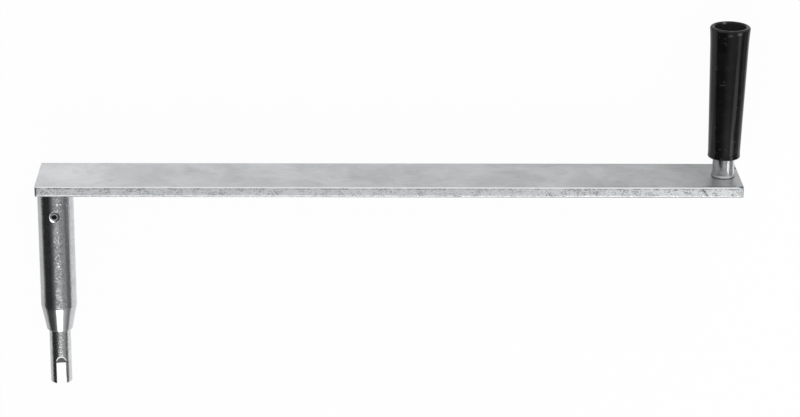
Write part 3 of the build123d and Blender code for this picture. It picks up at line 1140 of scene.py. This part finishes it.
# %% Finish of the grip
fresh_black, handled_black = (0.0035, 0.0035, 0.0037, 1), (0.0065, 0.0065, 0.0067, 1)
ring_grey, hair_grey = (0.06, 0.06, 0.062, 1), (0.05, 0.05, 0.052, 1)
recess_black, rub_grey = (0.022, 0.022, 0.0225, 1), (0.30, 0.30, 0.304, 1)
grip_finish, tree, shader, place = new_finish("black_moulding", {"Metallic": 0.0, "IOR": 1.43})
height = node(tree, "SeparateXYZ", {0: place}).outputs["Y"]
tree.links.new(remap(tree, height, 0.180, 0.215, 0.5, 0.33), shader.inputs["Specular IOR Level"])
mottle = grain(tree, place, 9, detail=4.0)
rings = grain(tree, place, 0.9, detail=2.0, squeeze=(0.03, 1, 0.03))
streaks = grain(tree, place, 0.8, detail=2.0, squeeze=(1, 0.05, 1))
ring_patches = remap(tree, grain(tree, place, 4.5), 0.5, 0.62)
hair_patches = remap(tree, grain(tree, place, 7), 0.5, 0.64)
scuffed_rings = remap(tree, times(tree, rings, ring_patches), 0.56, 0.66)
hairs = remap(tree, times(tree, streaks, hair_patches), 0.60, 0.68)
recess = stored(tree, "recess")
colour = blend(tree, remap(tree, mottle, 0.3, 0.7), fresh_black, handled_black)
colour = blend(tree, times(tree, scuffed_rings, 0.5), colour, ring_grey)
colour = blend(tree, times(tree, hairs, 0.35), colour, hair_grey)
colour = blend(tree, recess, colour, recess_black)
# Painted glints: three small spots by the mouth are painted pale grey.
colour = blend(tree, stored(tree, "rubbed_spot"), colour, rub_grey)
roughness = mixed(tree, recess, remap(tree, mottle, 0.3, 0.7, 0.09, 0.16), 0.5)
normal = bumped(tree, rings, 0.015, strength=0.6)
normal = bumped(tree, grain(tree, place, 0.7, detail=2.0), 0.01, strength=0.6, normal=normal)
lay_on(tree, shader, colour=colour, roughness=roughness, normal=normal)
hand_over(grip, "grip", "grip", grip_finish)

# %% [markdown]
# ## Camera
#
# The crank lies on the long edge of its arm and is seen from high up, a little from the side of
# the drive shaft, through a long lens.

# %% Place the camera
camera_at = Vector((192.15, 781.72, 1788.81)) * MM
camera_pitch = math.radians(20.04)
camera_turn = 0.0243
camera_roll = 0.0012
lens_mm = 123.42
sensor_mm = 36.0
forward = Vector((0, -math.sin(camera_pitch), -math.cos(camera_pitch)))
forward = forward * math.cos(camera_turn) + Vector((1, 0, 0)) * math.sin(camera_turn)
side = forward.cross(Vector((0, math.cos(camera_pitch), -math.sin(camera_pitch)))).normalized()
upward = side.cross(forward)
side, upward = (
    side * math.cos(camera_roll) + upward * math.sin(camera_roll),
    upward * math.cos(camera_roll) - side * math.sin(camera_roll),
)
camera_data = bpy.data.cameras.new("camera")
camera_data.lens = lens_mm
camera_data.sensor_width = sensor_mm
camera_data.clip_end = 100
camera = new_object("camera", camera_data)
camera.matrix_world = Matrix.Translation(camera_at) @ Matrix((side, upward, -forward)).transposed().to_4x4()
bpy.context.scene.camera = camera
print("camera looks along", [round(c, 3) for c in forward])

# %% [markdown]
# ## Studio
#
# Bright metal shows its surroundings, so the studio matters as much as the finish. The table is
# white, the space overhead a soft grey that fades to dark on either hand, which is what draws
# the dark stripes down every turned part, and the walls before and behind are pale again, so
# that the rolled edges of the bar catch a line of light.
#
# The table is a studio cheat: the camera and the diffuse light see it plain white, and only what
# the steel and the grip mirror is set zone by zone, as grey cards laid beside the work would do.
# The levels change softly along X and Y, in metres from the drive axis: in_front is the side of
# the drive shaft, behind the side of the grip, and beside the patch next to the grip.

# %% Levels of the table in the mirror of the metal
floor_reach = 6.0
floor_mesh = bpy.data.meshes.new("floor")
floor_corners = np.array([(-1, -1), (1, -1), (1, 1), (-1, 1)]) * floor_reach
floor_mesh.from_pydata([(x, y, floor_height * MM) for x, y in floor_corners], [], [(0, 1, 2, 3)])
floor = new_object("floor", floor_mesh)
floor_finish, tree, shader, place = new_finish(
    "floor_white", {"Base Color": (0.85, 0.85, 0.85, 1), "Roughness": 0.9}
)
grip_x = grip_axis * MM
on_table = node(tree, "SeparateXYZ", {0: place}).outputs
over_x = partial(remap, tree, on_table["X"])
over_y = partial(remap, tree, on_table["Y"])
less = partial(math_of, tree, "SUBTRACT")
left_of_shaft = times(tree, over_x(-0.34, -0.17, 0.05, 1.0), over_x(-0.03, -0.012, 0.74, 1.0))
card = times(tree, times(tree, over_x(0.16, 0.22), over_y(0.138, 0.128)), over_y(0.02, 0.06))
left_of_grip = times(tree, over_x(0.20, 0.36, 1.0, 0.5), less(1.0, times(tree, card, 0.85)))
right_of_grip = times(tree, over_x(0.465, 0.48, 0.0, 0.6), over_x(0.50, 0.60, 1.0, 0.15))
in_front = plus(tree, times(tree, left_of_shaft, left_of_grip), right_of_grip)
behind = plus(tree, over_x(grip_x, grip_x + 0.0115, 0.0, 0.17), 1.02)
for start, stop, fall in ((0.03, 0.075, 0.16), (0.13, 0.26, 0.06), (0.37, 0.48, 0.30)):
    behind = less(behind, over_x(start, stop, 0.0, fall))
past_grip = math_of(tree, "GREATER_THAN", on_table["X"], grip_x)
beside = mixed(tree, past_grip, over_x(0.34, 0.445, 0.10, 0.70), over_x(0.485, 0.56, 0.85, 0.18))
near_grip = times(tree, times(tree, over_y(0.172, 0.184), over_x(0.36, 0.42)), over_y(0.28, 0.25))
mirrored = mixed(tree, over_y(0.150, 0.158), in_front, mixed(tree, near_grip, behind, beside))

# %% The table
shadow_share = 0.04
rays = node(tree, "LightPath").outputs
glowing = mixed(tree, rays["Is Camera Ray"], mirrored, 1.0)
seen = math_of(tree, "MAXIMUM", rays["Is Camera Ray"], rays["Is Glossy Ray"])
seen = times(tree, math_of(tree, "MAXIMUM", seen, rays["Is Transmission Ray"]), 1 - shadow_share)
white = node(tree, "Emission", {"Color": (1, 1, 1, 1), "Strength": glowing})
both = either(tree, seen, shader.outputs["BSDF"], white.outputs["Emission"])
tree.links.new(both, tree.nodes["Material Output"].inputs["Surface"])
floor_mesh.materials.append(floor_finish)
floor_finish.cycles.emission_sampling = "NONE"

# %% [markdown]
# The walls and the ceiling are one band of greys round the Y axis, in degrees from straight
# overhead: up the left side from -90 and down the right side to 90. The band is brighter towards
# the front, dimmer towards the back, and gives way to a pale wall at either end. Diffuse light
# sees an even pale grey instead, and the camera white.

# %% Walls and ceiling of the studio
world = bpy.data.worlds.new("studio")
bpy.context.scene.world = world
world.use_nodes = True
tree = world.node_tree
direction = node(tree, "SeparateXYZ", {0: node(tree, "TexCoord").outputs["Generated"]}).outputs
round_y = math_of(tree, "ARCTAN2", direction["X"], direction["Z"])
band = node(tree, "ValToRGB", {0: node(tree, "MapRange", {0: round_y, 1: -math.pi, 2: math.pi}).outputs[0]})
stops = (
    (-180, 1.0), (-91, 1.0), (-88, 0.035), (-41, 0.035), (-24, 0.14), (-10, 0.37), (2, 0.53),
    (12, 0.57), (26, 0.46), (38, 0.41), (54, 0.38), (66, 0.20), (80, 0.16), (92, 0.16),
)
ramp = band.color_ramp
while len(ramp.elements) < len(stops):
    ramp.elements.new(0.5)
for element, (degrees, level) in zip(ramp.elements, stops):
    element.position = (degrees + 180) / 360
    element.color = (level, level, level, 1)
forwards = times(tree, direction["Y"], -1.0)
slope = node(tree, "MapRange", {0: forwards, 1: 0.0, 2: 0.64, 3: 0.4, 4: 1.55}).outputs[0]
level = blend(tree, 1.0, band.outputs["Color"], slope, "MULTIPLY")
front_wall, back_wall = 0.75, 0.95
for share, wall in (
    (remap(tree, forwards, 0.66, 0.84), front_wall),
    (remap(tree, direction["Y"], 0.06, 0.30), back_wall),
):
    level = blend(tree, share, level, (wall, wall, wall, 1))
sky = tree.nodes["Background"]
tree.links.new(level, sky.inputs["Color"])
plain = node(tree, "Background", {"Color": (1, 1, 1, 1), "Strength": 1.0})
even = node(tree, "Background", {"Color": (1, 1, 1, 1), "Strength": 0.82})
rays = node(tree, "LightPath").outputs
lit = either(tree, rays["Is Diffuse Ray"], sky.outputs[0], even.outputs[0])
shown = either(tree, rays["Is Camera Ray"], lit, plain.outputs[0])
tree.links.new(shown, tree.nodes["World Output"].inputs["Surface"])
world.cycles.sampling_method = "NONE"

# %% [markdown]
# One large soft box stands in front. The rest are small cards round the grip's end: three in a
# row draw the streak down the grip, each turned a little further round it than the one below, and
# two light the spindle under it. Power is worked out from the radiance of the panel, so a card
# keeps its brightness when its size changes.

# %% Soft boxes


def soft_box(name, at, towards, width, height, radiance, roll=0.0):
    """A rectangular lamp as bright as a panel of that radiance: power = pi * area * radiance.

    Its width lies along Y unless it is rolled about the line it shines along."""
    data = bpy.data.lights.new(name, "AREA")
    data.shape = "RECTANGLE"
    data.size, data.size_y = width, height
    data.energy = math.pi * width * height * radiance
    lamp = new_object(name, data)
    lamp.location = at
    facing = (Vector(towards) - Vector(at)).to_track_quat("-Z", "Y")
    lamp.rotation_euler = (facing @ Quaternion((0, 0, 1), roll)).to_euler()
    lamp.visible_camera = False
    print(f"{name}: {data.energy:.3f} W")


soft_box("front_box", (0.23, -1.5, 1.6), (0.23, 0.1, 0), 1.46, 0.9, 2.0)
card_reach, card_width, card_roll = 0.224, 0.062, math.radians(-37)
first_middle, first_swing, swing_per_metre = 0.095, 40.5, 193
cards = ((0.080, 0.130, 1.15), (0.130, 0.156, 1.45), (0.156, 0.200, 0.8))
for count, (low, high, radiance) in enumerate(cards):
    middle, length = (low + high) / 2, (high - low) / math.cos(card_roll)
    swing = math.radians(first_swing + (middle - first_middle) * swing_per_metre)
    card_at = (grip_x + card_reach * math.sin(swing), middle, card_reach * math.cos(swing))
    soft_box(f"grip_card_{count}", card_at, (grip_x, middle, 0), length, card_width, radiance, card_roll)
soft_box("spindle_card", (0.655, 0.04, 0.165), (grip_x, 0.04, 0), 0.09, 0.11, 1.0)
soft_box("side_card", (0.70, 0.045, 0.04), (grip_x, 0.045, 0), 0.07, 0.08, 0.45)

# %% [markdown]
# ## Close
#
# The view is left plain.

# %% The plain view
bpy.context.scene.view_settings.view_transform = "Standard"
